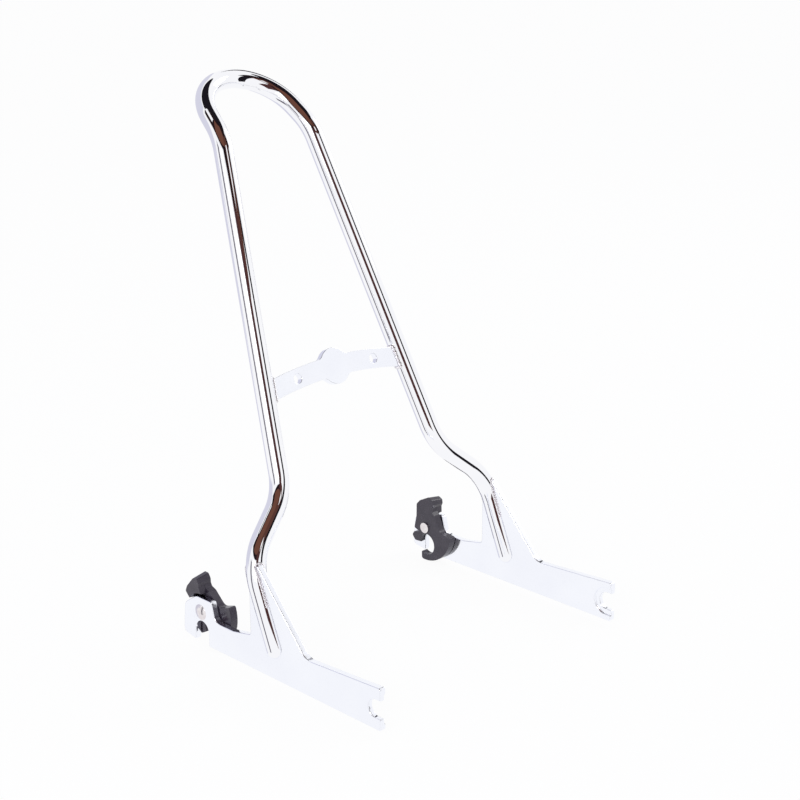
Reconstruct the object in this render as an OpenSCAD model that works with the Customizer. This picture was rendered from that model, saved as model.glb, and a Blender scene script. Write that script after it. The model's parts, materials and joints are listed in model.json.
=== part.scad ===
// Detachable sissy bar: a bent round bar, two docking side plates, a cross plate and two latches.
// X runs forward, Y to the left and Z up. Working heights start at the lower edge of the side plates,
// and working lengths at the middle of the docking notch. All sizes are in millimetres and degrees.

/* [Bent bar] */
// Diameter of the round bar
bar_d = 19.05; // [16:0.05:22]
// Rearward lean of the legs from the vertical
leg_lean = 22.5; // [15:0.5:28]
// Where the leg's centre line crosses the plate's lower edge, forward of the docking notch
leg_foot_x = 117.9; // [105:0.1:135]
// Distance up the leg of the bar's rounded lower end
bar_end_s = 23; // [15:0.5:32]
// How far below the fin's top edge the bar starts to bend inwards
bend_below_fin = 19.9; // [15:0.1:22]
// Height of the joggle along the leg, from corner to corner of its centre line
joggle_h = 49.4; // [44:0.1:65]
// Distance between the centre lines of the legs just above the joggle
legs_w = 205.2; // [190:0.2:222]
// Inward taper of each leg above the joggle
leg_taper = 7.8; // [6.5:0.1:9]
// Distance up the leg of the upper bend
kink_s = 504; // [480:1:530]
// Rearward lean of the top loop from the vertical
loop_lean = 51.5; // [42:0.5:62]
// Length of the top loop's straight sides above the upper bend
loop_side_l = 25.85; // [22:0.05:34]
// Centre-line radius of the bends at the joggle and the upper bend
bend_r = 57; // [48:0.5:62]

/* [Side plates] */
// Width over the outer faces of the two side plates
plates_w = 320; // [300:1:345]
// Thickness of a side plate
plate_t = 6.35; // [5:0.05:8]
// Length of the plate forward of the docking notch
plate_l = 244.7; // [220:0.1:275]
// Height of the plate at its front end
front_h = 40.5; // [37:0.1:45]
// Height of the plate at the front foot of the fin
foot_h = 34.6; // [32:0.1:37]
// Height of the plate behind the fin
behind_h = 33.5; // [31:0.1:36]
// Height of the lowest stretch, between the fin and the head
neck_h = 28.3; // [26:0.1:30]
// Distance of that lowest stretch forward of the docking notch
neck_x = 46; // [40:0.5:55]
// Height of the fin's top edge, along the leg
fin_top_s = 110; // [104:0.5:113]
// Angle between the fin's front edge and the leg
fin_angle = 19.1; // [14:0.1:24]
// How far the fin's front edge stands proud of the bar at the fin's top
fin_proud = 1; // [0.5:0.1:2]
// How far behind the leg's centre line the fin's top edge ends
fin_back = 3.5; // [2:0.1:6]
// Radius of the fillet at the fin's front foot
fin_fillet = 16; // [8:1:24]

/* [Docking notch and head] */
// Width of the docking notch
notch_w = 19.5; // [17:0.1:21]
// Height of the docking notch's round top
notch_h = 23.4; // [21:0.1:25]
// Height of the head's flat top
head_h = 47.3; // [46:0.1:48.5]
// Distance of the head's front side forward of the docking notch
head_front_x = 15.3; // [13:0.1:17]
// Distance of the head's back behind the docking notch
head_back_x = 28.6; // [26:0.1:31]

/* [Front notch] */
// Width of the front notch
front_notch_w = 17.5; // [14:0.1:20]
// Length of the front notch from the front end to the bottom of its round
front_notch_l = 15; // [12:0.1:22]
// Height of the front notch's centre line
front_notch_z = 19.8; // [17:0.1:22]
// Width of the shallow recess around the front notch on the inner face
recess_w = 28; // [23:0.5:31]
// Depth of that recess
recess_t = 1.5; // [0.8:0.1:2.5]

/* [Cross plate] */
// Thickness of the cross plate
cross_t = 6.35; // [5:0.05:8]
// Height of the cross plate's middle, along the leg
cross_s = 267; // [230:1:320]
// Height of the cross plate's arms
cross_h = 19.5; // [16:0.5:24]
// Radius of the bow in which the arms fall away from the middle
bow_r = 450; // [350:10:900]
// Diameter of the round middle
boss_d = 36; // [30:0.5:42]
// Radius of the fillets between the round middle and the arms
boss_fillet = 8; // [4:0.5:12]
// Diameter of the two holes
cross_hole_d = 9.5; // [6:0.1:11]
// Distance between the two holes
cross_hole_pitch = 99; // [80:1:115]

/* [Welds] */
// How far the weld in the leg's slot stands proud of the bar
slot_weld_proud = 0.8; // [0.4:0.1:1.5]
// How far the leg's slot runs past the fin's top edge
slot_over = 4; // [3:0.5:6]
// Leg length of the fillet welds round the cross plate's ends
weld_leg = 4; // [3:0.5:6]

/* [Latches] */
// Distance of the latch's pivot behind the docking notch
pivot_back = 1.5; // [0:0.1:3]
// Height of the latch's pivot
pivot_z = 32.2; // [31.5:0.1:33]
// Thickness of the latch
latch_t = 8.15; // [6:0.05:10]
// Thickness of the latch's finger, next to the plate
finger_t = 4.1; // [3:0.1:5]
// Outer radius of the jaw about the pivot
jaw_r = 36.8; // [35.5:0.1:38]
// How far the jaw's tip reaches behind the pivot when closed
jaw_tip = 5; // [3:0.1:7]
// Clearance round the docking post inside the throat
throat_gap = 2.05; // [1:0.05:2.5]
// Clearance between the thumb tab and the head where they stop each other
tab_gap = 0.3; // [0.2:0.05:0.6]
// Travel of a latch from closed to open
latch_travel = 25; // [20:1:28]
// Height of the thumb tab above the pivot
tab_h = 36; // [33:0.5:40]
// How far the thumb tab reaches across the plate
tab_reach = 7.4; // [5:0.1:9]
// How far the left latch is open
latch_open_left = 0; // [0:1:25]
// How far the right latch is open
latch_open_right = 25; // [0:1:25]

/* [Latch rivets] */
// Diameter of the rivet's shank
rivet_d = 8; // [6:0.1:9]
// Diameter of the rivet's inner head
rivet_head_d = 11.5; // [10.5:0.1:13]
// Height of the rivet's inner head
rivet_head_h = 1.8; // [1:0.1:2.5]
// Diameter of the rivet's domed outer head
rivet_dome_d = 16; // [13:0.1:18]
// Height of the rivet's domed outer head
rivet_dome_h = 2.6; // [1.5:0.1:4]
// Outer diameter of the friction washer
washer_d = 17; // [13:0.1:19]
// Thickness of the friction washer
washer_t = 0.6; // [0.4:0.1:1]
// Radial clearance on the rivet's shank
bore_gap = 0.05; // [0.02:0.01:0.1]
// End play of the latch between the washer and the rivet's head
end_play = 0.1; // [0.05:0.01:0.2]

/* [Hidden] */
$fn = 64;

left = 1;
right = -1;
through = 1;
arc_step = 6;

// The bar's straights run over the ends of its bends, which are a hair slimmer by the seam's step
seam_over = 0.8;
seam_step = 0.05;
bow_steps = 8;
// How far the fillet weld starts inside the arm's faces
weld_sink = 0.3;

bar_r = bar_d / 2;
notch_r = notch_w / 2;
front_notch_r = front_notch_w / 2;
notch_z = notch_h - notch_r;
front_notch_x = plate_l - front_notch_l + front_notch_r;
plate_outer = plates_w / 2;
plate_inner = plate_outer - plate_t;
plate_mid = plate_outer - plate_t / 2;

// Where the bar's centre line turns inwards and where it turns up again, as lengths up the leg
joggle_angle = atan((plate_mid - legs_w / 2) / joggle_h);
joggle_low_s = fin_top_s - bend_below_fin + bend_r * tan(joggle_angle / 2);
joggle_high_s = joggle_low_s + joggle_h;

// The washer, the latch and the rivet's inner head follow each other inwards from the plate
washer_inner = plate_inner - washer_t;
latch_outer = washer_inner - end_play;
latch_inner = latch_outer - latch_t;
head_seat = latch_inner - end_play;

pivot = [-pivot_back, pivot_z];
throat = [pivot_back, notch_z - pivot_z];
throat_r = notch_r + throat_gap;

// The head behind its flat top falls away along a straight slope, from slope_top to slope_end
slope_top = [-8, head_h];
slope_end = [3 - head_back_x, pivot_z + 3.3];
slope_dir = unit(slope_end - slope_top);
slope_out = [slope_dir.y, -slope_dir.x];

// The thumb tab's front corner stops on the flat top, and its rear corner stops on the slope
tab_front_angle = 57;
tab_r = (head_h - pivot_z + tab_gap) / sin(tab_front_angle);
tab_rear_angle = atan2(slope_out.y, slope_out.x)
    + acos(((slope_top - pivot) * slope_out + tab_gap) / tab_r) - latch_travel;

// Edge of the thumb tab from its front side over its top to its rear side, with corner radii
tab_edge = [
    [9.2, 24, 2],
    [10.8, tab_h - 8, 1.5],
    [10.2, tab_h - 2.5, 2.5],
    [5, tab_h, 2.5],
    [-8.2, 29.2, 3],
    [-13, 24, 3]
];

// Lengths along a leg and forward of its centre line, as a point beside the plate
function beside(s, w) = [
    leg_foot_x - s * sin(leg_lean) + w * cos(leg_lean),
    s * cos(leg_lean) + w * sin(leg_lean)
];

// A point on a leg's plane at the given distance along it
function on_leg(s, y) = [leg_foot_x - s * sin(leg_lean), y, s * cos(leg_lean)];

// The upper bend, and the point where the loop's two tapering sides would meet
kink_y = legs_w / 2 - (kink_s - joggle_high_s) * tan(leg_taper);
loop_dir = [-sin(loop_lean), 0, cos(loop_lean)];
loop_vertex = on_leg(kink_s, 0) + loop_dir * kink_y / tan(leg_taper);
loop_r = (kink_y - loop_side_l * tan(leg_taper)) / cos(leg_taper);
crown = on_leg(kink_s, 0) + loop_dir * (loop_side_l + loop_r * (1 - sin(leg_taper)));

// The left half of the bar's route, from the loop down to its foot
route = [
    loop_vertex,
    on_leg(kink_s, kink_y),
    on_leg(joggle_high_s, legs_w / 2),
    on_leg(joggle_low_s, plate_mid),
    on_leg(bar_end_s + bar_r, plate_mid)
];
route_r = [loop_r, bend_r, bend_r, bend_r, 0];
route_dir = [for (i = [1:len(route) - 1]) unit(route[i] - route[i - 1])];
loop_bend = 180 - 2 * leg_taper;

// The jaw's lowest point below the pivot, at an angle of opening
tip_angle = asin(jaw_tip / jaw_r);
function jaw_drop(open) = jaw_r * cos(max(0, open - tip_angle));

// The part's own frame: the middle of its length, and its lowest point
frame_x = -(plate_l + crown.x - bar_r) / 2;
frame_z = max(0, jaw_drop(latch_open_left) - pivot_z, jaw_drop(latch_open_right) - pivot_z);

function unit(v) = v / norm(v);
function polar(r, a) = [r * cos(a), r * sin(a)];
function arc(c, r, from, to) =
    let (steps = ceil(abs(to - from) / arc_step))
    [for (i = [0:steps]) c + polar(r, from + (to - from) * i / steps)];

// The points of one rounded corner at b, between its neighbours a and c
function corner(a, b, c, r) =
    let (
        u = unit(a - b),
        v = unit(c - b),
        half = acos(u * v) / 2,
        centre = b + unit(u + v) * r / sin(half),
        from = atan2((b + u * r / tan(half) - centre).y, (b + u * r / tan(half) - centre).x),
        sweep = (u.x * v.y - u.y * v.x > 0 ? -1 : 1) * (180 - 2 * half)
    )
    arc(centre, r, from, from + sweep);

// An outline with each corner rounded; a corner is [x, y, radius], and no radius leaves it sharp
function rounded(p) = [
    for (
        i = [0:len(p) - 1],
        q = let (
            a = p[(i + len(p) - 1) % len(p)],
            b = p[i],
            c = p[(i + 1) % len(p)]
        ) b[2] == undef ? [b] : corner([a.x, a.y], [b.x, b.y], [c.x, c.y], b[2])
    ) q
];

// An outline without the points that repeat the one before them
function apart(p) = [for (i = [0:len(p) - 1]) if (i == 0 || norm(p[i] - p[max(0, i - 1)]) > 0.001) p[i]];

// Places the children with their Z along one direction and their X along another
module along(p, z_dir, x_dir) {
    y_dir = cross(z_dir, x_dir);
    multmatrix([
        [x_dir.x, y_dir.x, z_dir.x, p.x],
        [x_dir.y, y_dir.y, z_dir.y, p.y],
        [x_dir.z, y_dir.z, z_dir.z, p.z]
    ]) children();
}

// A round rod that starts along Z and bends towards X
module bend(rod_r, centre_r, angle) {
    translate([centre_r, 0, 0]) rotate([90, 0, 0]) mirror([1, 0, 0])
        rotate_extrude(angle = angle) translate([centre_r, 0]) circle(rod_r);
}

// Moves the children from the start of such a bend to its end
module past_bend(centre_r, angle) {
    translate([centre_r, 0, 0]) rotate([0, angle, 0]) translate([-centre_r, 0, 0]) children();
}

// The angle of the route's bend at point i, and the length that it takes from each straight beside it
function bend_angle(i) = i == 0 ? loop_bend : acos(route_dir[i - 1] * route_dir[i]);
function setback(i) = route_r[i] * tan(bend_angle(i) / 2);

// Straights and bends in turn, from the end of the bend at point i, whose plane has the given normal
module rod_below(rod_r, i, normal) {
    dir = route_dir[i];
    last = i == len(route_dir) - 1;
    run = norm(route[i + 1] - route[i]) - setback(i) - (last ? 0 : setback(i + 1));
    over = last ? 0 : seam_over;
    translate([0, 0, -seam_over]) cylinder(h = seam_over + run + over, r = rod_r);
    translate([0, 0, run])
        if (last) sphere(rod_r - seam_step);
        else {
            next_normal = unit(cross(dir, route_dir[i + 1]));
            turn = atan2(cross(normal, next_normal) * dir, normal * next_normal);
            angle = bend_angle(i + 1);
            rotate([0, 0, turn]) {
                bend(rod_r - seam_step, route_r[i + 1], angle);
                past_bend(route_r[i + 1], angle) rod_below(rod_r, i + 1, next_normal);
            }
        }
}

// The bent bar's full round, as thick as asked
module rod(rod_r) {
    loop_normal = unit(cross([0, 1, 0], route_dir[0]));
    along(crown, [0, 1, 0], -loop_dir) {
        translate([loop_r, 0, 0]) rotate([0, -loop_bend / 2, 0]) translate([-loop_r, 0, 0])
            bend(rod_r - seam_step, loop_r, loop_bend);
        past_bend(loop_r, loop_bend / 2) rod_below(rod_r, 0, loop_normal);
        mirror([0, 0, 1]) past_bend(loop_r, loop_bend / 2) rod_below(rod_r, 0, loop_normal);
    }
}

// Sets the whole part in its frame
module in_frame() {
    translate([frame_x, 0, frame_z]) children();
}

// Shows a left-hand piece on the side asked for
module on_side(side) {
    in_frame()
        if (side == left) children();
        else mirror([0, 1, 0]) children();
}

// Extrudes an outline drawn in X and Z between two places along Y
module slab(from, to) {
    translate([0, to, 0]) rotate([90, 0, 0]) linear_extrude(to - from) children();
}

// A round bar across the plates at a point beside them
module across(p, from, to, d) {
    translate([p.x, to, p.y]) rotate([90, 0, 0]) cylinder(h = to - from, d = d);
}

// Side plate: outline without its notches
module plate_outline() {
    fin_slope = leg_lean + fin_angle;
    fin_front = beside(fin_top_s, bar_r + fin_proud);
    fin_rear = beside(fin_top_s, -fin_back);
    foot_x = fin_front.x + (fin_front.y - foot_h) * tan(fin_slope);
    polygon(rounded([
        [notch_r, 0, 1],
        [plate_l, 0, 2],
        [plate_l, front_h, 2],
        [foot_x, foot_h, fin_fillet],
        fin_front,
        fin_rear,
        [fin_rear.x, behind_h, 4],
        [neck_x, neck_h, 20],
        [head_front_x + 5, neck_h, 9],
        [head_front_x, head_h, 2],
        [slope_top.x, slope_top.y, 12],
        [slope_end.x, slope_end.y, 8],
        [-head_back_x, 4.5, 6],
        [-notch_r, 1.5, 1.5],
        [-notch_r, notch_z],
        [notch_r, notch_z]
    ]));
}

module side_plate(side) {
    color("gainsboro") on_side(side) difference() {
        slab(plate_inner, plate_outer) plate_outline();
        across([0, notch_z], plate_inner - through, plate_outer + through, notch_w);
        across([front_notch_x, front_notch_z], plate_inner - through, plate_outer + through, front_notch_w);
        translate([front_notch_x, plate_inner - through, front_notch_z - front_notch_r])
            cube([plate_l - front_notch_x + through, plate_t + 2 * through, front_notch_w]);
        across([front_notch_x, front_notch_z], plate_inner - through, plate_inner + recess_t, recess_w);
        translate([front_notch_x, plate_inner - through, front_notch_z - recess_w / 2])
            cube([plate_l - front_notch_x + through, recess_t + through, recess_w]);
        across(pivot, plate_inner - through, plate_outer + through, rivet_d + 2 * bore_gap);
    }
}

// The slot that a leg has for the plate's fin
module leg_slot() {
    slot_r = bar_d;
    along(on_leg(0, plate_mid), [-sin(leg_lean), 0, cos(leg_lean)], [cos(leg_lean), 0, sin(leg_lean)])
        translate([-slot_r, -plate_t / 2, 0])
            cube([2 * slot_r, plate_t, fin_top_s + slot_over]);
}

module bent_bar() {
    color("silver") in_frame() difference() {
        rod(bar_r);
        leg_slot();
        mirror([0, 1, 0]) leg_slot();
    }
}

// Weld that closes the slot above the fin's edges
module plate_weld(side) {
    color("lightgray") on_side(side) difference() {
        intersection() {
            rod(bar_r + slot_weld_proud);
            leg_slot();
        }
        slab(plate_inner - through, plate_outer + through) plate_outline();
    }
}

// The straight stretch of the left leg that carries the cross plate
module leg_straight(rod_r) {
    low = on_leg(joggle_high_s, legs_w / 2);
    high = on_leg(kink_s, kink_y);
    dir = unit(high - low);
    along(low, dir, unit(cross(dir, [0, 1, 0]))) cylinder(h = norm(high - low), r = rod_r);
}

// The place of the cross plate: X along its arms, Y up the leg and Z to the front
module at_cross_plate() {
    along(on_leg(cross_s, 0), [cos(leg_lean), 0, sin(leg_lean)], [0, 1, 0]) children();
}

// How far the arms' centre line lies above the plate's middle, which is below it, at x along them
function bow_at(x) = sqrt(pow(bow_r, 2) - pow(x, 2)) - bow_r;

// Where the arms end inside the leg, and the leg's centre at the arm's own height
cross_reach = legs_w / 2 - (cross_s - joggle_high_s) * tan(leg_taper);
weld_reach = cross_reach - bow_at(cross_reach - bar_r) * tan(leg_taper);

// Centre of a fillet between the round middle and the arms' upper (1) or lower (-1) edge
function fillet_at(out) =
    let (
        near = boss_d / 2 + boss_fillet,
        far = bow_r + out * (cross_h / 2 + boss_fillet),
        y = (pow(far, 2) - pow(near, 2) - pow(bow_r, 2)) / (2 * bow_r)
    )
    [sqrt(pow(near, 2) - pow(y, 2)), y];

// The arms' upper or lower edge on the left, from the fillet outwards
function bow_edge(out) =
    let (
        edge_r = bow_r + out * cross_h / 2,
        f = fillet_at(out),
        from = atan2(f.y + bow_r, f.x),
        to = acos(cross_reach / edge_r)
    )
    [for (i = [0:bow_steps]) [0, -bow_r] + polar(edge_r, from + (to - from) * i / bow_steps)];

// Half of the outline, from the top of the round middle over the arm to its bottom
function cross_half() =
    let (
        upper = fillet_at(1),
        lower = fillet_at(-1),
        upper_a = atan2(upper.y, upper.x),
        lower_a = atan2(lower.y, lower.x),
        under = bow_edge(-1)
    )
    concat(
        arc([0, 0], boss_d / 2, 90, upper_a),
        arc(upper, boss_fillet, upper_a + 180, atan2(-bow_r - upper.y, -upper.x) + 360),
        bow_edge(1),
        [for (i = [bow_steps:-1:0]) under[i]],
        arc(lower, boss_fillet, atan2(lower.y + bow_r, lower.x), lower_a + 180),
        arc([0, 0], boss_d / 2, lower_a, -90)
    );

module cross_outline() {
    half = apart(cross_half());
    polygon(concat(half, [for (i = [len(half) - 2:-1:1]) [-half[i].x, half[i].y]]));
}

module cross_blank() {
    at_cross_plate() translate([0, 0, -cross_t / 2]) linear_extrude(cross_t) cross_outline();
}

module cross_plate() {
    color("gainsboro") in_frame() difference() {
        cross_blank();
        leg_straight(bar_r);
        mirror([0, 1, 0]) leg_straight(bar_r);
        at_cross_plate()
            for (x = [-cross_hole_pitch / 2, cross_hole_pitch / 2])
                translate([x, bow_at(x), -cross_t]) cylinder(h = 2 * cross_t, d = cross_hole_d);
    }
}

// One side of the fillet weld: wide at the leg and flush with the arm further in
module weld_wedge(arm, reach) {
    face = reach - bar_r / cos(leg_taper);
    polygon([
        [face - weld_leg, weld_sink - arm / 2],
        [face, -arm / 2 - weld_leg],
        [reach, -arm / 2 - weld_leg],
        [reach, arm / 2 + weld_leg],
        [face, arm / 2 + weld_leg],
        [face - weld_leg, arm / 2 - weld_sink]
    ]);
}

module cross_plate_weld(side) {
    face = weld_reach - bar_r / cos(leg_taper);
    color("lightgray") on_side(side) difference() {
        at_cross_plate() translate([face, bow_at(face), 0]) rotate([0, 0, -asin(face / bow_r)])
            translate([-face, 0, 0]) intersection() {
                translate([0, 0, -cross_t]) linear_extrude(2 * cross_t)
                    weld_wedge(cross_h, weld_reach);
                rotate([90, 0, 0]) translate([0, 0, -cross_h]) linear_extrude(2 * cross_h)
                    weld_wedge(cross_t, weld_reach);
            }
        leg_straight(bar_r);
        cross_blank();
    }
}

// Latch body: closed, about its pivot
module latch_outline() {
    inner_tip = throat.y - sqrt(pow(throat_r, 2) - pow(throat.x + jaw_tip, 2));
    polygon(rounded(concat(
        [
            throat,
            [-jaw_tip, inner_tip, 1],
            [-jaw_tip, -jaw_r * cos(tip_angle), 2.5]
        ],
        arc([0, 0], jaw_r, -90, -8),
        [
            [jaw_r - 0.4, -2.6, 1.8],
            [20.8, -0.6, 8],
            [13.6, 16.4, 4],
            [9.4, 20.5, 3]
        ],
        tab_edge,
        [
            [-13.3, 10, 8],
            [-16.3, -3.9, 1.5],
            [-5, -8.3]
        ]
    )));
}

// Finger that the docking post pushes, beside the throat
module finger_outline() {
    polygon(rounded([
        [0, -6],
        [-8, -7.5],
        [-15, -9.6, 2],
        [-20.5, -11, 2.5],
        [-23.6, -15.4, 2.5],
        [-19, -20.6, 3],
        [-9, -20, 1],
        [0, -16]
    ]));
}

// Thumb tab that reaches over the head, between its two stops
module tab_outline() {
    polygon(rounded(concat(
        [polar(tab_r - 1, tab_rear_angle), polar(tab_r - 1, tab_front_angle)],
        tab_edge
    )));
}

module latch(side, open) {
    color("dimgray") on_side(side) difference() {
        translate([pivot.x, 0, pivot.y]) rotate([0, -open, 0]) difference() {
            union() {
                slab(latch_inner, latch_outer) latch_outline();
                slab(latch_outer - finger_t, latch_outer) finger_outline();
                slab(latch_outer, latch_outer + tab_reach) tab_outline();
            }
            across(throat, latch_inner - through, latch_outer + through, 2 * throat_r);
            across([0, 0], latch_outer, latch_outer + tab_reach + through, 2 * tab_r);
        }
        across(pivot, latch_inner - through, latch_outer + through, rivet_d + 2 * bore_gap);
    }
}

module latch_rivet(side) {
    dome_r = (pow(rivet_dome_d / 2, 2) + pow(rivet_dome_h, 2)) / (2 * rivet_dome_h);
    color("silver") on_side(side) {
        across(pivot, head_seat - rivet_head_h, head_seat, rivet_head_d);
        across(pivot, head_seat, plate_outer + rivet_dome_h / 2, rivet_d);
        intersection() {
            translate([pivot.x, plate_outer + rivet_dome_h - dome_r, pivot.y]) sphere(dome_r);
            across(pivot, plate_outer, plate_outer + rivet_dome_h, rivet_dome_d);
        }
    }
}

module latch_washer(side) {
    color("darkgray") on_side(side) difference() {
        across(pivot, washer_inner, plate_inner, washer_d);
        across(pivot, washer_inner - through, plate_inner + through, rivet_d + 2 * bore_gap);
    }
}

bent_bar();
side_plate(left);  // side_plate_left
side_plate(right);  // side_plate_right
cross_plate();
plate_weld(left);  // plate_weld_left
plate_weld(right);  // plate_weld_right
cross_plate_weld(left);  // cross_plate_weld_left
cross_plate_weld(right);  // cross_plate_weld_right
latch(left, latch_open_left);  // latch_left
latch(right, latch_open_right);  // latch_right
latch_rivet(left);  // latch_rivet_left
latch_rivet(right);  // latch_rivet_right
latch_washer(left);  // latch_washer_left
latch_washer(right);  // latch_washer_right
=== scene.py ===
"""Dresses the sissy bar: chrome bar and plates, weld beads, black latches and rivets, in a white studio."""

from __future__ import annotations

import json
import logging
import math
from collections.abc import Callable
from dataclasses import dataclass, field
from enum import Enum
from functools import partial
from typing import Any

import bmesh
import bpy
from mathutils import Matrix, Quaternion, Vector

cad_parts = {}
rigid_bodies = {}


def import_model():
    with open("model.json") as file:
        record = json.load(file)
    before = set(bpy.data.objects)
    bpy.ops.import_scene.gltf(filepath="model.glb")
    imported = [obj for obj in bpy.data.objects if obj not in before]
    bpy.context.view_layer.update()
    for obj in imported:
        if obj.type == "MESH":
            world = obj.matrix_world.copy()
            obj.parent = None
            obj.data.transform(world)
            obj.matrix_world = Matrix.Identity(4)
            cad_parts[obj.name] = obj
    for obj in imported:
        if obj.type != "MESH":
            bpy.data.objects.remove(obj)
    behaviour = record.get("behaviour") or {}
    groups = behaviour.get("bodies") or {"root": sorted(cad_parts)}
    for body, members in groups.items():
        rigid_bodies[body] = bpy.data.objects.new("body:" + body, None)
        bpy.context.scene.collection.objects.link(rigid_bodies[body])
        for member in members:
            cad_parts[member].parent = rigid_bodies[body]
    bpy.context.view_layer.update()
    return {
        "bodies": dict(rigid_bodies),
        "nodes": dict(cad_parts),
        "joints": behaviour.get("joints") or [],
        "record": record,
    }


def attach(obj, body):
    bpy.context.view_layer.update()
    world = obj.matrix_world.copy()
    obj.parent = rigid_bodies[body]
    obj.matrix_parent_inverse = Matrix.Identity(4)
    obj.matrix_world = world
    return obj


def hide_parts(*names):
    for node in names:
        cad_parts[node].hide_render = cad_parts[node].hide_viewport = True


LOG = logging.getLogger("sissy_bar")
MM = 0.001
Colour = tuple[float, float, float, float]


class Side(Enum):
    """The two sides of the part; the value is the sign of Y."""

    LEFT = 1
    RIGHT = -1

    @property
    def word(self) -> str:
        """The side's name as the nodes spell it."""
        return self.name.lower()


class Slot(Enum):
    """The record's material slots."""

    BAR = "chrome_bar"
    PLATE = "chrome_plate"
    WELD = "chrome_weld"
    LATCH = "latch_black"
    RIVET = "rivet_steel"
    WASHER = "washer_steel"


class Graph:
    """A node tree under construction, with short ways to add nodes, set them and join them."""

    def __init__(self, tree: bpy.types.NodeTree) -> None:
        """Wraps a tree.

        Args:
            tree: the node tree to build in.
        """
        self.tree = tree
        self.column = 0

    def add(self, kind: str, values: dict[str, Any] | None = None, **options: Any) -> bpy.types.Node:
        """Adds a node.

        Args:
            kind: the node's type name.
            values: values of its input sockets, by name.
            **options: properties of the node itself.

        Returns:
            The new node.
        """
        node = self.tree.nodes.new(kind)
        node.location = (self.column, 0)
        self.column += 190
        for name, value in options.items():
            setattr(node, name, value)
        for name, value in (values or {}).items():
            node.inputs[name].default_value = value
        return node

    def link(self, source: bpy.types.NodeSocket, target: bpy.types.NodeSocket) -> None:
        """Joins an output socket to an input socket."""
        self.tree.links.new(source, target)

    def socket(
        self, name: str, kind: str, default: Any = None, out: bool = False
    ) -> bpy.types.NodeTreeInterfaceSocket:
        """Adds a named socket to the tree's own interface.

        Args:
            name: the socket's name.
            kind: its socket type.
            default: its default value, if it has one.
            out: whether it is an output.

        Returns:
            The new interface socket.
        """
        way = "OUTPUT" if out else "INPUT"
        made = self.tree.interface.new_socket(name=name, in_out=way, socket_type=kind)
        if default is not None:
            made.default_value = default
        return made


class SurfaceEffects:
    """Shader node groups that several finishes share. They put out colours, values and normals only."""

    def __init__(self) -> None:
        """Builds each group once."""
        self.haze = self._haze()
        self.mottle = self._mottle()
        self.grain = self._grain()

    def _group(self, name: str) -> Graph:
        """Starts a shader node group.

        Args:
            name: the group's name.

        Returns:
            The graph of the new group.
        """
        return Graph(bpy.data.node_groups.new(name, "ShaderNodeTree"))

    def _haze(self) -> bpy.types.NodeTree:
        """Builds the patchy roughness of handled, polished metal.

        Returns:
            A group that puts out a roughness between two limits.
        """
        g = self._group("polish haze")
        g.socket("Vector", "NodeSocketVector")
        g.socket("Scale", "NodeSocketFloat", 40.0)
        g.socket("Smooth", "NodeSocketFloat", 0.03)
        g.socket("Dull", "NodeSocketFloat", 0.1)
        g.socket("Roughness", "NodeSocketFloat", out=True)
        start = g.add("NodeGroupInput")
        noise = g.add("ShaderNodeTexNoise", {"Detail": 4.0, "Roughness": 0.6})
        spread = g.add("ShaderNodeMapRange", {"From Min": 0.32, "From Max": 0.72})
        end = g.add("NodeGroupOutput")
        g.link(start.outputs["Vector"], noise.inputs["Vector"])
        g.link(start.outputs["Scale"], noise.inputs["Scale"])
        g.link(noise.outputs["Fac"], spread.inputs["Value"])
        g.link(start.outputs["Smooth"], spread.inputs["To Min"])
        g.link(start.outputs["Dull"], spread.inputs["To Max"])
        g.link(spread.outputs["Result"], end.inputs["Roughness"])
        return g.tree

    def _mottle(self) -> bpy.types.NodeTree:
        """Builds the slow drift between two close colours.

        Returns:
            A group that puts out a colour.
        """
        g = self._group("colour drift")
        g.socket("Vector", "NodeSocketVector")
        g.socket("Scale", "NodeSocketFloat", 12.0)
        g.socket("Colour", "NodeSocketColor", (0.8, 0.8, 0.8, 1.0))
        g.socket("Second Colour", "NodeSocketColor", (0.7, 0.7, 0.7, 1.0))
        g.socket("Colour", "NodeSocketColor", out=True)
        start = g.add("NodeGroupInput")
        noise = g.add("ShaderNodeTexNoise", {"Detail": 3.0, "Roughness": 0.5})
        spread = g.add("ShaderNodeMapRange", {"From Min": 0.35, "From Max": 0.65})
        mix = g.add("ShaderNodeMix", data_type="RGBA")
        end = g.add("NodeGroupOutput")
        g.link(start.outputs["Vector"], noise.inputs["Vector"])
        g.link(start.outputs["Scale"], noise.inputs["Scale"])
        g.link(noise.outputs["Fac"], spread.inputs["Value"])
        g.link(spread.outputs["Result"], mix.inputs["Factor"])
        g.link(start.outputs["Colour"], mix.inputs[6])
        g.link(start.outputs["Second Colour"], mix.inputs[7])
        g.link(mix.outputs[2], end.inputs["Colour"])
        return g.tree

    def _grain(self) -> bpy.types.NodeTree:
        """Builds the fine relief of plating, casting or a sprayed coat.

        Returns:
            A group that puts out a normal.
        """
        g = self._group("fine relief")
        g.socket("Vector", "NodeSocketVector")
        g.socket("Scale", "NodeSocketFloat", 300.0)
        g.socket("Strength", "NodeSocketFloat", 0.1)
        g.socket("Depth", "NodeSocketFloat", 0.0001)
        g.socket("Normal", "NodeSocketVector", out=True)
        start = g.add("NodeGroupInput")
        noise = g.add("ShaderNodeTexNoise", {"Detail": 5.0, "Roughness": 0.55})
        bump = g.add("ShaderNodeBump")
        end = g.add("NodeGroupOutput")
        g.link(start.outputs["Vector"], noise.inputs["Vector"])
        g.link(start.outputs["Scale"], noise.inputs["Scale"])
        g.link(noise.outputs["Fac"], bump.inputs["Height"])
        g.link(start.outputs["Strength"], bump.inputs["Strength"])
        g.link(start.outputs["Depth"], bump.inputs["Distance"])
        g.link(bump.outputs["Normal"], end.inputs["Normal"])
        return g.tree


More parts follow.
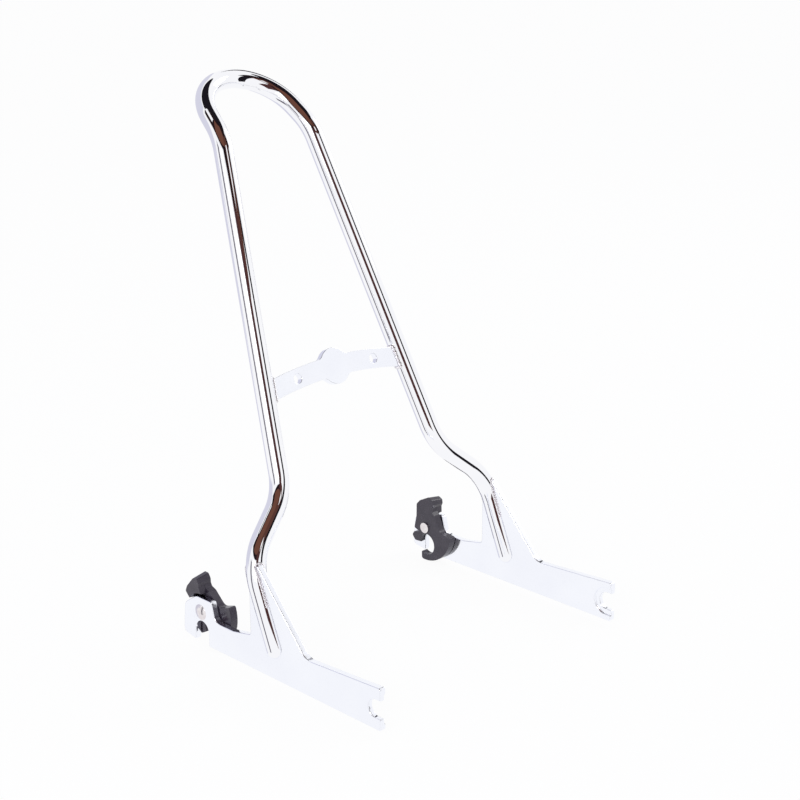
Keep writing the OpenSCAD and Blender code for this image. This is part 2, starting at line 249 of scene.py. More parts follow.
@dataclass(frozen=True)
class Finish:
    """One surface finish, with the sizes of its effects."""

    slot: Slot
    colour: Colour
    second_colour: Colour
    drift_scale: float
    metallic: float
    smooth: float
    dull: float
    haze_scale: float
    grain_scale: float
    grain_strength: float
    grain_depth: float
    coat: float = 0.0

    def material(self, effects: SurfaceEffects) -> bpy.types.Material:
        """Builds the finish's material.

        Args:
            effects: the shared shader node groups.

        Returns:
            The new material.
        """
        made = bpy.data.materials.new(self.slot.value)
        made.use_nodes = True
        made.node_tree.nodes.clear()
        g = Graph(made.node_tree)
        place = g.add("ShaderNodeTexCoord")
        drift = g.add("ShaderNodeGroup", node_tree=effects.mottle)
        haze = g.add("ShaderNodeGroup", node_tree=effects.haze)
        relief = g.add("ShaderNodeGroup", node_tree=effects.grain)
        shader = g.add("ShaderNodeBsdfPrincipled", {"Metallic": self.metallic, "Coat Weight": self.coat})
        shader.inputs["Coat Roughness"].default_value = 0.08
        out = g.add("ShaderNodeOutputMaterial")
        drift.inputs["Scale"].default_value = self.drift_scale
        drift.inputs["Colour"].default_value = self.colour
        drift.inputs["Second Colour"].default_value = self.second_colour
        haze.inputs["Scale"].default_value = self.haze_scale
        haze.inputs["Smooth"].default_value = self.smooth
        haze.inputs["Dull"].default_value = self.dull
        relief.inputs["Scale"].default_value = self.grain_scale
        relief.inputs["Strength"].default_value = self.grain_strength
        relief.inputs["Depth"].default_value = self.grain_depth
        for effect in (drift, haze, relief):
            g.link(place.outputs["Object"], effect.inputs["Vector"])
        g.link(drift.outputs["Colour"], shader.inputs["Base Color"])
        g.link(haze.outputs["Roughness"], shader.inputs["Roughness"])
        g.link(relief.outputs["Normal"], shader.inputs["Normal"])
        g.link(shader.outputs["BSDF"], out.inputs["Surface"])
        return made


FINISHES = (
    Finish(
        Slot.BAR,
        colour=(0.94, 0.94, 0.965, 1),
        second_colour=(0.91, 0.915, 0.95, 1),
        drift_scale=14,
        metallic=1.0,
        smooth=0.012,
        dull=0.04,
        haze_scale=45,
        grain_scale=55,
        grain_strength=0.03,
        grain_depth=0.00008,
    ),
    Finish(
        Slot.PLATE,
        colour=(0.915, 0.93, 0.985, 1),
        second_colour=(0.89, 0.905, 0.97, 1),
        drift_scale=18,
        metallic=1.0,
        smooth=0.09,
        dull=0.15,
        haze_scale=60,
        grain_scale=130,
        grain_strength=0.03,
        grain_depth=0.0001,
    ),
    Finish(
        Slot.WELD,
        colour=(0.86, 0.85, 0.88, 1),
        second_colour=(0.74, 0.71, 0.74, 1),
        drift_scale=260,
        metallic=1.0,
        smooth=0.06,
        dull=0.2,
        haze_scale=300,
        grain_scale=700,
        grain_strength=0.35,
        grain_depth=0.0003,
    ),
    Finish(
        Slot.LATCH,
        colour=(0.03, 0.024, 0.039, 1),
        second_colour=(0.042, 0.035, 0.051, 1),
        drift_scale=90,
        metallic=0.0,
        smooth=0.2,
        dull=0.32,
        haze_scale=160,
        grain_scale=1500,
        grain_strength=0.16,
        grain_depth=0.00006,
    ),
    Finish(
        Slot.RIVET,
        colour=(0.85, 0.82, 0.83, 1),
        second_colour=(0.74, 0.69, 0.71, 1),
        drift_scale=220,
        metallic=1.0,
        smooth=0.12,
        dull=0.26,
        haze_scale=260,
        grain_scale=900,
        grain_strength=0.2,
        grain_depth=0.0001,
    ),
    Finish(
        Slot.WASHER,
        colour=(0.5, 0.5, 0.52, 1),
        second_colour=(0.42, 0.42, 0.44, 1),
        drift_scale=150,
        metallic=1.0,
        smooth=0.3,
        dull=0.45,
        haze_scale=200,
        grain_scale=1200,
        grain_strength=0.2,
        grain_depth=0.0001,
    ),
)


@dataclass(frozen=True)
class Materials:
    """The finishes' materials, by slot."""

    by_slot: dict[Slot, bpy.types.Material]

    @classmethod
    def build(cls) -> Materials:
        """Builds every finish."""
        effects = SurfaceEffects()
        return cls({finish.slot: finish.material(effects) for finish in FINISHES})

    def of(self, slot: Slot) -> bpy.types.Material:
        """The material of a slot."""
        return self.by_slot[slot]


class Workshop:
    """Turns meshes and node trees into finished pieces that ride on the part's bodies."""

    def __init__(self, frame: dict[str, Any], materials: Materials) -> None:
        """Keeps the frame and the materials.

        Args:
            materials: the finishes.
        """
        self.nodes = frame["nodes"]
        self.materials = materials
        bodies = frame["record"]["behaviour"]["bodies"]
        self.body_of = {node: body for body, members in bodies.items() for node in members}

    def new_object(self, name: str, mesh: bpy.types.Mesh) -> bpy.types.Object:
        """Links a mesh to the scene as an object at the origin.

        Args:
            name: the object's name.
            mesh: its mesh.

        Returns:
            The new object.
        """
        made = bpy.data.objects.new(name, mesh)
        bpy.context.scene.collection.objects.link(made)
        return made

    def bake(self, piece: bpy.types.Object) -> None:
        """Turns a piece's modifiers into plain mesh, and takes the modifiers off."""
        graph = bpy.context.evaluated_depsgraph_get()
        mesh = bpy.data.meshes.new_from_object(piece.evaluated_get(graph), depsgraph=graph)
        piece.modifiers.clear()
        old = piece.data
        piece.data = mesh
        bpy.data.meshes.remove(old)
        mesh.name = piece.name

    def finish(self, piece: bpy.types.Object, node: str, slot: Slot, sharp: float | None = None) -> None:
        """Gives a piece its material and its body, and hides the node that it stands for.

        Args:
            piece: the finished piece.
            node: the node that it stands for.
            slot: its material slot.
            sharp: the angle in degrees above which its edges shade as sharp, or None to leave them.
        """
        piece.data.materials.clear()
        piece.data.materials.append(self.materials.of(slot))
        piece.data.polygons.foreach_set("material_index", [0] * len(piece.data.polygons))
        piece.data.polygons.foreach_set("use_smooth", [True] * len(piece.data.polygons))
        if sharp is not None:
            piece.data.set_sharp_from_angle(angle=math.radians(sharp))
        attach(piece, self.body_of[node])
        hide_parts(node)
        LOG.info("%s: %d faces, on %s", piece.name, len(piece.data.polygons), self.body_of[node])

    def softened(
        self,
        node: str,
        width: float,
        segments: int = 3,
        reshape: Callable[[bpy.types.Mesh], None] | None = None,
    ) -> bpy.types.Object:
        """Copies a node's solid, joins its flat faces and rounds its edges.

        Args:
            node: the node to copy.
            width: the rounding's width in metres.
            segments: how many faces run round each edge.
            reshape: moves the copy's vertices before its edges are rounded.

        Returns:
            The rounded copy, as a plain mesh.
        """
        mesh = self.nodes[node].data.copy()
        mesh.name = node + "_finished"
        shape = bmesh.new()
        shape.from_mesh(mesh)
        bmesh.ops.remove_doubles(shape, verts=shape.verts, dist=2e-6)
        bmesh.ops.dissolve_limit(
            shape,
            angle_limit=math.radians(0.6),
            use_dissolve_boundaries=False,
            verts=shape.verts,
            edges=shape.edges,
        )
        shape.to_mesh(mesh)
        shape.free()
        if reshape is not None:
            reshape(mesh)
        piece = self.new_object(node + "_finished", mesh)
        rounding = piece.modifiers.new("rounding", "BEVEL")
        rounding.width = width
        rounding.segments = segments
        rounding.limit_method = "ANGLE"
        rounding.angle_limit = math.radians(35)
        rounding.use_clamp_overlap = True
        rounding.miter_outer = "MITER_ARC"
        piece.modifiers.new("flat faces stay flat", "WEIGHTED_NORMAL").weight = 80
        mesh.polygons.foreach_set("use_smooth", [True] * len(mesh.polygons))
        self.bake(piece)
        return piece


@dataclass
class BentBar:
    """The bent round bar, swept along the same centre line as the solid. Lengths are in millimetres."""

    diameter: float = 19.05
    lean: float = 22.5
    foot_x: float = 117.9
    end_s: float = 23.0
    below_fin: float = 19.9
    fin_top_s: float = 110.0
    joggle_h: float = 49.4
    legs_w: float = 205.2
    taper: float = 7.8
    kink_s: float = 504.0
    loop_lean: float = 51.5
    loop_side: float = 25.85
    bend_r: float = 57.0
    plates_w: float = 320.0
    plate_t: float = 6.35
    plate_l: float = 244.7
    lift: float = 4.6
    sides: int = 72
    step: float = 2.5
    loop_r: float = field(init=False)
    joggle_low: float = field(init=False)
    joggle_high: float = field(init=False)
    shift: float = field(init=False)

    def __post_init__(self) -> None:
        """Works out the sizes that follow from the others."""
        joggle = math.atan((self.plate_mid - self.legs_w / 2) / self.joggle_h)
        self.joggle_low = self.fin_top_s - self.below_fin + self.bend_r * math.tan(joggle / 2)
        self.joggle_high = self.joggle_low + self.joggle_h
        taper = math.radians(self.taper)
        self.loop_r = (self.kink_y - self.loop_side * math.tan(taper)) / math.cos(taper)
        self.shift = 0.0
        reach = self.loop_side + self.loop_r * (1 - math.sin(taper))
        crown = self.on_leg(self.kink_s, 0).x - reach * math.sin(math.radians(self.loop_lean))
        self.shift = -(self.plate_l + crown - self.diameter / 2) / 2

    @property
    def plate_mid(self) -> float:
        """Distance of a side plate's middle from the part's own middle."""
        return (self.plates_w - self.plate_t) / 2

    @property
    def kink_y(self) -> float:
        """Distance of the upper bend from the part's middle."""
        return self.legs_w / 2 - (self.kink_s - self.joggle_high) * math.tan(math.radians(self.taper))

    def on_leg(self, s: float, y: float, w: float = 0.0) -> Vector:
        """A point by its place on the legs' plane.

        Args:
            s: distance up the leg.
            y: distance to the left.
            w: distance forward of the plane.

        Returns:
            The point, in millimetres in the row frame.
        """
        lean = math.radians(self.lean)
        return Vector(
            (
                self.shift + self.foot_x - s * math.sin(lean) + w * math.cos(lean),
                y,
                self.lift + s * math.cos(lean) + w * math.sin(lean),
            )
        )

    def centre_y(self, s: float) -> float:
        """How far out the centre line runs at a height just past the start of the inward bend."""
        past = max(0.0, s - (self.fin_top_s - self.below_fin))
        return self.plate_mid - (self.bend_r - math.sqrt(self.bend_r**2 - past**2))

    def corners(self) -> tuple[list[Vector], list[float]]:
        """The centre line's corner points and bend radii, from the left foot to the right foot."""
        loop_lean = math.radians(self.loop_lean)
        up = Vector((-math.sin(loop_lean), 0, math.cos(loop_lean)))
        top = self.on_leg(self.kink_s, 0) + up * (self.kink_y / math.tan(math.radians(self.taper)))
        leg = [
            (self.on_leg(self.end_s + self.diameter / 2, self.plate_mid), 0.0),
            (self.on_leg(self.joggle_low, self.plate_mid), self.bend_r),
            (self.on_leg(self.joggle_high, self.legs_w / 2), self.bend_r),
            (self.on_leg(self.kink_s, self.kink_y), self.bend_r),
        ]
        other = [(Vector((p.x, -p.y, p.z)), r) for p, r in reversed(leg)]
        whole = [*leg, (top, self.loop_r), *other]
        return [p for p, _ in whole], [r for _, r in whole]

    def centre_line(self) -> list[Vector]:
        """The centre line with its bends, as points a few degrees apart."""
        points, radii = self.corners()
        line = [points[0]]
        for before, at, after, radius in zip(points, points[1:], points[2:], radii[1:]):
            into = (at - before).normalized()
            out = (after - at).normalized()
            turn = into.angle(out)
            start = at - into * radius * math.tan(turn / 2)
            axis = into.cross(out).normalized()
            centre = start + axis.cross(into) * radius
            count = max(2, math.ceil(math.degrees(turn) / self.step))
            for i in range(count + 1):
                line.append(centre + Quaternion(axis, turn * i / count) @ (start - centre))
        line.append(points[-1])
        return line

    def path(self) -> tuple[list[Vector], list[float]]:
        """The sweep's points in metres, and how full the round is at each, less at the two ends."""
        line = self.centre_line()
        radius = self.diameter / 2
        angles = [math.radians(a) for a in (12, 24, 36, 47, 57, 66, 74, 81, 87)]
        first = (line[0] - line[1]).normalized()
        last = (line[-1] - line[-2]).normalized()
        points = [line[0] + first * radius * math.sin(a) for a in reversed(angles)]
        full = [math.cos(a) for a in reversed(angles)]
        points += line
        full += [1.0] * len(line)
        points += [line[-1] + last * radius * math.sin(a) for a in angles]
        full += [math.cos(a) for a in angles]
        return [p * MM for p in points], full

    def sweep_tree(self) -> tuple[bpy.types.NodeTree, dict[str, str]]:
        """Builds the geometry nodes that sweep a round along a path.

        Returns:
            The tree, and the identifiers of its inputs by name.
        """
        g = Graph(bpy.data.node_groups.new("round bar sweep", "GeometryNodeTree"))
        inputs = {
            "Geometry": g.socket("Geometry", "NodeSocketGeometry"),
            "Radius": g.socket("Radius", "NodeSocketFloat", 0.01),
            "Sides": g.socket("Sides", "NodeSocketInt", 48),
            "Material": g.socket("Material", "NodeSocketMaterial"),
        }
        g.socket("Geometry", "NodeSocketGeometry", out=True)
        start = g.add("NodeGroupInput")
        curve = g.add("GeometryNodeMeshToCurve")
        ring = g.add("GeometryNodeCurvePrimitiveCircle", mode="RADIUS")
        full = g.add("GeometryNodeInputNamedAttribute", {"Name": "full"}, data_type="FLOAT")
        tube = g.add("GeometryNodeCurveToMesh", {"Fill Caps": True})
        smooth = g.add("GeometryNodeSetShadeSmooth")
        plain = g.add("GeometryNodeRealizeInstances")
        paint = g.add("GeometryNodeSetMaterial")
        end = g.add("NodeGroupOutput")
        g.link(start.outputs["Geometry"], curve.inputs["Mesh"])
        g.link(start.outputs["Sides"], ring.inputs["Resolution"])
        g.link(start.outputs["Radius"], ring.inputs["Radius"])
        g.link(curve.outputs["Curve"], tube.inputs["Curve"])
        g.link(ring.outputs["Curve"], tube.inputs["Profile Curve"])
        g.link(full.outputs["Attribute"], tube.inputs["Scale"])
        g.link(tube.outputs["Mesh"], smooth.inputs["Geometry"])
        g.link(smooth.outputs["Geometry"], plain.inputs["Geometry"])
        g.link(plain.outputs["Geometry"], paint.inputs["Geometry"])
        g.link(start.outputs["Material"], paint.inputs["Material"])
        g.link(paint.outputs["Geometry"], end.inputs["Geometry"])
        return g.tree, {name: socket.identifier for name, socket in inputs.items()}

    def build(self, shop: Workshop) -> None:
        """Builds the bar as one smooth tube with round ends."""
        points, full = self.path()
        mesh = bpy.data.meshes.new("bent_bar_finished")
        mesh.from_pydata(points, [(i, i + 1) for i in range(len(points) - 1)], [])
        mesh.attributes.new("full", "FLOAT", "POINT").data.foreach_set("value", full)
        piece = shop.new_object("bent_bar_finished", mesh)
        tree, ids = self.sweep_tree()
        sweep = piece.modifiers.new("sweep", "NODES")
        sweep.node_group = tree
        sweep[ids["Radius"]] = self.diameter / 2 * MM
        sweep[ids["Sides"]] = self.sides
        sweep[ids["Material"]] = shop.materials.of(Slot.BAR)
        shop.bake(piece)
        shop.finish(piece, "bent_bar", Slot.BAR, sharp=40)


@dataclass
class SidePlates:
    """The two flat side plates, with their edges rounded as plating rounds them. Lengths are in metres."""

    edge: float = 0.0009

    def build(self, shop: Workshop) -> None:
        """Builds both plates."""
        for side in Side:
            node = f"side_plate_{side.word}"
            shop.finish(shop.softened(node, self.edge), node, Slot.PLATE)


@dataclass
class CrossPlate:
    """The plate between the legs, with its round middle. Lengths are in metres."""

    edge: float = 0.0007

    def build(self, shop: Workshop) -> None:
        """Builds the plate."""
        shop.finish(shop.softened("cross_plate", self.edge), "cross_plate", Slot.PLATE)


@dataclass
class Latches:
    """The two black latches with their rivets and washers. Lengths are in metres."""

    edge: float = 0.00045
    rivet_edge: float = 0.0005
    pivot: tuple[float, float] = (-0.053538, 0.0368)
    tab_end_y: float = 0.16
    tab_drop: float = 0.0025
    tab_lift: float = 0.001
    stored_open: float = math.radians(25)

    def slim_tab(self, mesh: bpy.types.Mesh, side: Side) -> None:
        """Tapers the thumb tab towards its outer end, in the latch's own upright position.

        Args:
            mesh: the latch's mesh, in its stored position.
            side: the side of the part.
        """
        angle = self.stored_open if side is Side.RIGHT else 0.0
        there = Matrix.Rotation(angle, 2)
        back = there.transposed()
        ends = []
        for vertex in mesh.vertices:
            if abs(vertex.co.y) > self.tab_end_y:
                own = back @ Vector((vertex.co.x - self.pivot[0], vertex.co.z - self.pivot[1]))
                ends.append((vertex, own))
        low = min(own.y for _, own in ends)
        high = max(own.y for _, own in ends)
        for vertex, own in ends:
            up = (own.y - low) / (high - low)
            moved = there @ Vector((own.x, own.y + self.tab_lift * (1 - up) - self.tab_drop * up))
            vertex.co.x = self.pivot[0] + moved.x
            vertex.co.z = self.pivot[1] + moved.y

    def build(self, shop: Workshop) -> None:
        """Builds both latches and rivets, and dresses the washers."""
        for side in Side:
            latch = f"latch_{side.word}"
            rivet = f"latch_rivet_{side.word}"
            washer = f"latch_washer_{side.word}"
            body = shop.softened(latch, self.edge, reshape=partial(self.slim_tab, side=side))
            shop.finish(body, latch, Slot.LATCH)
            shop.finish(shop.softened(rivet, self.rivet_edge), rivet, Slot.RIVET)
            shop.nodes[washer].data.materials.clear()
            shop.nodes[washer].data.materials.append(shop.materials.of(Slot.WASHER))


@dataclass
class WeldBeads:
    """The weld beads round the slots and the cross plate's ends. Lengths are in millimetres."""

    bar: BentBar
    pitch: float = 0.95
    slot_radius: float = 1.35
    fillet_radius: float = 1.9
    cross_s: float = 267.0
    bow_r: float = 450.0
    cross_h: float = 19.5
    cross_t: float = 6.35
    front_low: float = 72.0
    back_low: float = 92.0
    fin_clear: float = 0.5
    slot_sink: float = 0.25
    fillet_sink: float = 0.3
    over_top: float = 1.2
    arch_drop: float = 2.6
    arch_rise: float = 3.4
    tree: bpy.types.NodeTree | None = field(init=False, default=None)
    ids: dict[str, str] = field(init=False, default_factory=dict)

    def bead_tree(self) -> tuple[bpy.types.NodeTree, dict[str, str]]:
        """Builds the geometry nodes that lay overlapping ripples along a path.

        Returns:
            The tree, and the identifiers of its inputs by name.
        """
        g = Graph(bpy.data.node_groups.new("weld ripples", "GeometryNodeTree"))
        inputs = {
            "Geometry": g.socket("Geometry", "NodeSocketGeometry"),
            "Radius": g.socket("Radius", "NodeSocketFloat", 0.0015),
            "Pitch": g.socket("Pitch", "NodeSocketFloat", 0.001),
            "Seed": g.socket("Seed", "NodeSocketInt", 3),
            "Material": g.socket("Material", "NodeSocketMaterial"),
        }
        g.socket("Geometry", "NodeSocketGeometry", out=True)
        start = g.add("NodeGroupInput")
        curve = g.add("GeometryNodeMeshToCurve")
        even = g.add("GeometryNodeResampleCurve", mode="LENGTH")
        tangent = g.add("GeometryNodeInputTangent")
        turn = g.add("FunctionNodeAlignRotationToVector", axis="Z")
        drop = g.add("GeometryNodeMeshUVSphere", {"Segments": 16, "Rings": 8, "Radius": 1.0})
        flat = g.add("GeometryNodeTransform", {"Scale": (1.0, 1.0, 0.62)})
        vary = g.add("FunctionNodeRandomValue", data_type="FLOAT")
        vary.inputs[2].default_value = 0.86
        vary.inputs[3].default_value = 1.12
        size = g.add("ShaderNodeMath", operation="MULTIPLY")
        place = g.add("GeometryNodeInstanceOnPoints")
        plain = g.add("GeometryNodeRealizeInstances")
        smooth = g.add("GeometryNodeSetShadeSmooth")
        paint = g.add("GeometryNodeSetMaterial")
        end = g.add("NodeGroupOutput")
        g.link(start.outputs["Geometry"], curve.inputs["Mesh"])
        g.link(curve.outputs["Curve"], even.inputs["Curve"])
        g.link(start.outputs["Pitch"], even.inputs["Length"])
        g.link(tangent.outputs["Tangent"], turn.inputs["Vector"])
        g.link(drop.outputs["Mesh"], flat.inputs["Geometry"])
        g.link(start.outputs["Seed"], vary.inputs["Seed"])
        g.link(vary.outputs[1], size.inputs[0])
        g.link(start.outputs["Radius"], size.inputs[1])
        g.link(even.outputs["Curve"], place.inputs["Points"])
        g.link(flat.outputs["Geometry"], place.inputs["Instance"])
        g.link(turn.outputs["Rotation"], place.inputs["Rotation"])
        g.link(size.outputs["Value"], place.inputs["Scale"])
        g.link(place.outputs["Instances"], plain.inputs["Geometry"])
        g.link(plain.outputs["Geometry"], smooth.inputs["Geometry"])
        g.link(smooth.outputs["Geometry"], paint.inputs["Geometry"])
        g.link(start.outputs["Material"], paint.inputs["Material"])
        g.link(paint.outputs["Geometry"], end.inputs["Geometry"])
        return g.tree, {name: socket.identifier for name, socket in inputs.items()}

    def slot_paths(self, side: Side) -> list[list[Vector]]:
        """The seams where the bar's slot meets the plate's fin, on the bar's front and back.

        Args:
            side: the side of the part.

        Returns:
            Two paths in millimetres, each up one face of the fin, over its top and down the other.
        """
        bar = self.bar
        radius = bar.diameter / 2
        half = bar.plate_t / 2 + self.fin_clear
        paths = []
        for front, low in ((1, self.front_low), (-1, self.back_low)):
            path = []
            for s, across in self.seam(low, half):
                y = bar.centre_y(s)
                out = bar.plate_mid + across - y
                w = math.sqrt(max(0.0, radius**2 - min(abs(out), radius) ** 2)) - self.slot_sink
                path.append(bar.on_leg(s, side.value * (bar.plate_mid + across), front * w))
            paths.append(path)
        return paths

    def seam(self, low: float, half: float) -> list[tuple[float, float]]:
        """A seam's places, up the leg and across it, from one foot over the top to the other."""
        spring = self.bar.fin_top_s + self.over_top - self.arch_drop
        rise = [low + (spring - low) * i / 10 for i in range(11)]
        turns = [math.radians(a) for a in range(20, 170, 20)]
        arch = [(spring + self.arch_rise * math.sin(a), half * math.cos(a)) for a in turns]
        return [*((s, half) for s in rise), *arch, *((s, -half) for s in reversed(rise))]

    def fillet_paths(self, side: Side) -> list[list[Vector]]:
        """The seam round the cross plate's end, where it meets the leg.

        Args:
            side: the side of the part.

        Returns:
            One closed path in millimetres.
        """
        bar = self.bar
        radius = bar.diameter / 2
        taper = math.tan(math.radians(bar.taper))
        tall = self.cross_h / 2 + self.fillet_sink
        deep = self.cross_t / 2 + self.fillet_sink
        ring = [(tall * (2 * i / 10 - 1), deep) for i in range(11)]
        ring += [(tall + 0.5, deep * (1 - 2 * i / 4)) for i in range(1, 4)]
        ring += [(tall * (1 - 2 * i / 10), -deep) for i in range(11)]
        ring += [(-tall - 0.5, deep * (2 * i / 4 - 1)) for i in range(1, 4)]
        path = []
        for up, fore in [*ring, ring[0]]:
            inset = math.sqrt(radius**2 - fore**2) / math.cos(math.radians(bar.taper))
            face = bar.legs_w / 2 - inset
            for _ in range(5):
                s = self.cross_s - self.bow_r + math.sqrt((self.bow_r + up) ** 2 - face**2)
                face = bar.legs_w / 2 - (s - bar.joggle_high) * taper - inset
            path.append(bar.on_leg(s, side.value * (face - self.fillet_sink), fore))
        return [path]

    def lay(self, shop: Workshop, node: str, paths: list[list[Vector]], radius: float, seed: int) -> None:
        """Lays a bead along each path and makes them one piece.

        Args:
            shop: the workshop.
            node: the weld's node.
            paths: the paths, in millimetres.
            radius: the ripples' radius, in millimetres.
            seed: seed of the ripples' sizes.
        """
        points: list[Vector] = []
        edges: list[tuple[int, int]] = []
        for path in paths:
            first = len(points)
            points += [p * MM for p in path]
            edges += [(i, i + 1) for i in range(first, len(points) - 1)]
        mesh = bpy.data.meshes.new(node + "_bead")
        mesh.from_pydata(points, edges, [])
        piece = shop.new_object(node + "_bead", mesh)
        ripples = piece.modifiers.new("ripples", "NODES")
        ripples.node_group = self.tree
        ripples[self.ids["Radius"]] = radius * MM
        ripples[self.ids["Pitch"]] = self.pitch * MM
        ripples[self.ids["Seed"]] = seed
        ripples[self.ids["Material"]] = shop.materials.of(Slot.WELD)
        shop.bake(piece)
        shop.finish(piece, node, Slot.WELD, sharp=60)

    def build(self, shop: Workshop) -> None:
        """Lays the four beads."""
        self.tree, self.ids = self.bead_tree()
        for side in Side:
            seed = 5 + side.value
            self.lay(shop, f"plate_weld_{side.word}", self.slot_paths(side), self.slot_radius, seed)
            ring = self.fillet_paths(side)
            self.lay(shop, f"cross_plate_weld_{side.word}", ring, self.fillet_radius, seed + 7)


@dataclass(frozen=True)
class Card:
    """A card outside the view, which shows only as a streak in the chrome. Angles are in degrees."""

    name: str
    from_azimuth: float
    to_azimuth: float
    low: float
    high: float
    colour: Colour
    distance: float = 4.0


@dataclass(frozen=True)
class Lamp:
    """A soft square lamp. Lengths are in metres, and the power is in watts."""

    name: str
    at: tuple[float, float, float]
    size: float
    power: float


AMBER: Colour = (0.1, 0.042, 0.032, 1)
SOOT: Colour = (0.014, 0.008, 0.01, 1)
COAL: Colour = (0.012, 0.01, 0.014, 1)
LILAC: Colour = (0.70, 0.70, 0.80, 1)


@dataclass
class Studio:
    """The pale floor, the soft light, the cards and the camera. Lengths are in metres."""

    camera_at: tuple[float, float, float] = (1.1248, -1.0534, 0.7110)
    yaw: float = 135.428
    pitch: float = 17.522
    roll: float = -0.205
    lens: float = 75.69
    cards: tuple[Card, ...] = (
        Card("card_camera", 315.5, 343, -1, 40, (0.075, 0.03, 0.03, 1), 1.75),
        Card("card_stand", 14, 32, -25, 36, COAL),
        Card("card_line", 249, 262, -32, 25, (0.16, 0.15, 0.18, 1)),
        Card("card_back", 110, 131, 30, 46, (0.02, 0.018, 0.022, 1)),
        Card("card_warm", 262, 355, 44, 78, (0.15, 0.062, 0.042, 1), 3.8),
        Card("card_lamp", 231, 245, 56, 72, (1, 1, 1, 1), 1.4),
        Card("amber_near", 343, 353, 33.5, 58, AMBER, 3.7),
        Card("amber_low", 353, 367, 33.5, 37.5, AMBER, 3.7),
        Card("amber_high", 353, 367, 45, 58, AMBER, 3.7),
        Card("amber_far", 367, 380, 33.5, 58, AMBER, 3.7),
        Card("roof_front_near", 318, 353, 33.5, 90, SOOT),
        Card("roof_front_low", 353, 367, 33.5, 37.5, SOOT),
        Card("roof_front_high", 353, 367, 45, 90, SOOT),
        Card("roof_front_far", 367, 402, 33.5, 90, SOOT),
        Card("roof_near", 236, 318, 38, 90, (0.02, 0.011, 0.013, 1)),
        Card("roof_back", 42, 236, 56, 90, COAL),
        Card("card_lilac_low", 148, 198, -40, -10, LILAC, 5.0),
        Card("card_lilac_mid", 148, 213, -10, 2, LILAC, 5.0),
        Card("card_lilac_high", 148, 228, 2, 50, LILAC, 5.0),
    )
    lamps: tuple[Lamp, ...] = (
        Lamp("lamp_key", (0.9, -2.2, 1.25), 1.0, 16),
        Lamp("lamp_fill", (0.6, 2.2, 1.5), 1.0, 10),
    )
    card_centre_z: float = 0.3
    card_rows: int = 12
    card_step: float = 6
    floor_reach: float = 60.0
    floor_glow: float = 0.93

    def emission(self, name: str, colour: Colour, strength: float = 1.0) -> bpy.types.Material:
        """Builds a plain glowing material for a card.

        Args:
            name: the material's name.
            colour: its colour.
            strength: its strength.

        Returns:
            The new material.
        """
        made = bpy.data.materials.new(name)
        made.use_nodes = True
        made.node_tree.nodes.clear()
        g = Graph(made.node_tree)
        glow = g.add("ShaderNodeEmission", {"Color": colour, "Strength": strength})
        out = g.add("ShaderNodeOutputMaterial")
        g.link(glow.outputs["Emission"], out.inputs["Surface"])
        return made

    def build_card(self, card: Card) -> None:
        """Stands a curved card round the object, seen by reflections only."""
        mesh = bpy.data.meshes.new(card.name)
        width = card.to_azimuth - card.from_azimuth
        steps = max(2, math.ceil(width / self.card_step))
        rows = self.card_rows
        points = []
        for j in range(rows + 1):
            lift = math.radians(card.low + (card.high - card.low) * j / rows)
            for i in range(steps + 1):
                turn = math.radians(card.from_azimuth + width * i / steps)
                level = math.cos(lift)
                ray = Vector((math.cos(turn) * level, math.sin(turn) * level, math.sin(lift)))
                points.append(Vector((0, 0, self.card_centre_z)) + ray * card.distance)
        wide = steps + 1
        faces = [
            (j * wide + i, j * wide + i + 1, (j + 1) * wide + i + 1, (j + 1) * wide + i)
            for j in range(rows)
            for i in range(steps)
        ]
        mesh.from_pydata(points, [], faces)
        mesh.materials.append(self.emission(card.name, card.colour))
        made = bpy.data.objects.new(card.name, mesh)
        bpy.context.scene.collection.objects.link(made)
        made.visible_camera = False
        made.visible_diffuse = False
        made.visible_shadow = False
        made.visible_transmission = False

    def build_floor(self) -> None:
        """Lays the pale floor, white to the camera with a faint shadow."""
        made = bpy.data.materials.new("floor_white")
        made.use_nodes = True
        made.node_tree.nodes.clear()
        g = Graph(made.node_tree)
        matt = g.add("ShaderNodeBsdfDiffuse", {"Color": (0.9, 0.9, 0.9, 1)})
        glow = g.add("ShaderNodeEmission", {"Color": (1, 1, 1, 1), "Strength": 1.0})
        rays = g.add("ShaderNodeLightPath")
        share = g.add("ShaderNodeMath", {1: self.floor_glow}, operation="MULTIPLY")
        mix = g.add("ShaderNodeMixShader")
        out = g.add("ShaderNodeOutputMaterial")
        g.link(rays.outputs["Is Camera Ray"], share.inputs[0])
        g.link(share.outputs["Value"], mix.inputs["Fac"])
        g.link(matt.outputs["BSDF"], mix.inputs[1])
        g.link(glow.outputs["Emission"], mix.inputs[2])
        g.link(mix.outputs["Shader"], out.inputs["Surface"])
        mesh = bpy.data.meshes.new("floor")
        reach = self.floor_reach
        rim = [(-reach, -reach, 0), (reach, -reach, 0), (reach, reach, 0), (-reach, reach, 0)]
        mesh.from_pydata(rim, [], [(0, 1, 2, 3)])
        mesh.materials.append(made)
        floor = bpy.data.objects.new("floor", mesh)
        bpy.context.scene.collection.objects.link(floor)
        floor.visible_glossy = False

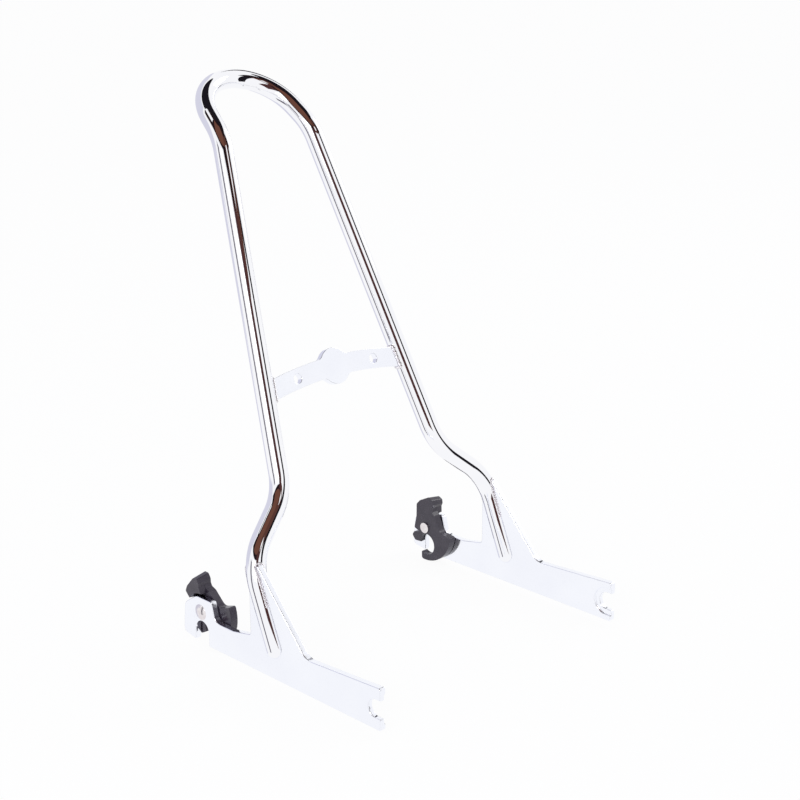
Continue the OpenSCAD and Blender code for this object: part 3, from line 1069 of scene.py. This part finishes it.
    def build_world(self) -> None:
        """Sets a world that is white to the camera, to metal and to glass, and softer as a light."""
        world = bpy.data.worlds.new("studio_air")
        bpy.context.scene.world = world
        world.use_nodes = True
        world.node_tree.nodes.clear()
        g = Graph(world.node_tree)
        soft = g.add("ShaderNodeBackground", {"Color": (0.93, 0.94, 1.0, 1), "Strength": 0.85})
        white = g.add("ShaderNodeBackground", {"Color": (1, 1, 1, 1), "Strength": 1.0})
        rays = g.add("ShaderNodeLightPath")
        first = g.add("ShaderNodeMath", operation="MAXIMUM")
        second = g.add("ShaderNodeMath", operation="MAXIMUM")
        mix = g.add("ShaderNodeMixShader")
        out = g.add("ShaderNodeOutputWorld")
        g.link(rays.outputs["Is Camera Ray"], first.inputs[0])
        g.link(rays.outputs["Is Glossy Ray"], first.inputs[1])
        g.link(first.outputs["Value"], second.inputs[0])
        g.link(rays.outputs["Is Transmission Ray"], second.inputs[1])
        g.link(second.outputs["Value"], mix.inputs["Fac"])
        g.link(soft.outputs["Background"], mix.inputs[1])
        g.link(white.outputs["Background"], mix.inputs[2])
        g.link(mix.outputs["Shader"], out.inputs["Surface"])

    def build_lamp(self, lamp: Lamp) -> None:
        """Hangs a soft square lamp that looks at the object.

        Args:
            lamp: the lamp.
        """
        data = bpy.data.lights.new(lamp.name, "AREA")
        data.size = lamp.size
        data.energy = lamp.power
        made = bpy.data.objects.new(lamp.name, data)
        made.location = lamp.at
        made.rotation_mode = "QUATERNION"
        made.rotation_quaternion = (Vector((0, 0, 0.2)) - Vector(lamp.at)).to_track_quat("-Z", "Y")
        bpy.context.scene.collection.objects.link(made)

    def build_camera(self) -> None:
        """Places the camera as the photograph was taken."""
        yaw, pitch, roll = (math.radians(a) for a in (self.yaw, self.pitch, self.roll))
        ahead = Vector((math.cos(pitch) * math.cos(yaw), math.cos(pitch) * math.sin(yaw), -math.sin(pitch)))
        right = ahead.cross(Vector((0, 0, 1))).normalized()
        up = right.cross(ahead)
        level = right * math.cos(roll) + up * math.sin(roll)
        above = up * math.cos(roll) - right * math.sin(roll)
        data = bpy.data.cameras.new("camera")
        data.lens = self.lens
        data.sensor_width = 36.0
        data.clip_end = 200.0
        camera = bpy.data.objects.new("camera", data)
        turn = Matrix((level, above, -ahead)).transposed()
        camera.matrix_world = Matrix.Translation(Vector(self.camera_at)) @ turn.to_4x4()
        bpy.context.scene.collection.objects.link(camera)
        bpy.context.scene.camera = camera

    def build(self) -> None:
        """Builds the whole studio."""
        bpy.context.scene.view_settings.view_transform = "Standard"
        self.build_camera()
        self.build_floor()
        self.build_world()
        for card in self.cards:
            self.build_card(card)
        for lamp in self.lamps:
            self.build_lamp(lamp)
        LOG.info("studio: %d cards and %d lamps", len(self.cards), len(self.lamps))


def main() -> None:
    """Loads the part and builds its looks."""
    logging.basicConfig(level=logging.INFO, format="%(name)s: %(message)s")
    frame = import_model()
    Studio().build()
    shop = Workshop(frame, Materials.build())
    bar = BentBar()
    bar.build(shop)
    SidePlates().build(shop)
    CrossPlate().build(shop)
    Latches().build(shop)
    WeldBeads(bar).build(shop)


if __name__ == "__main__":
    main()
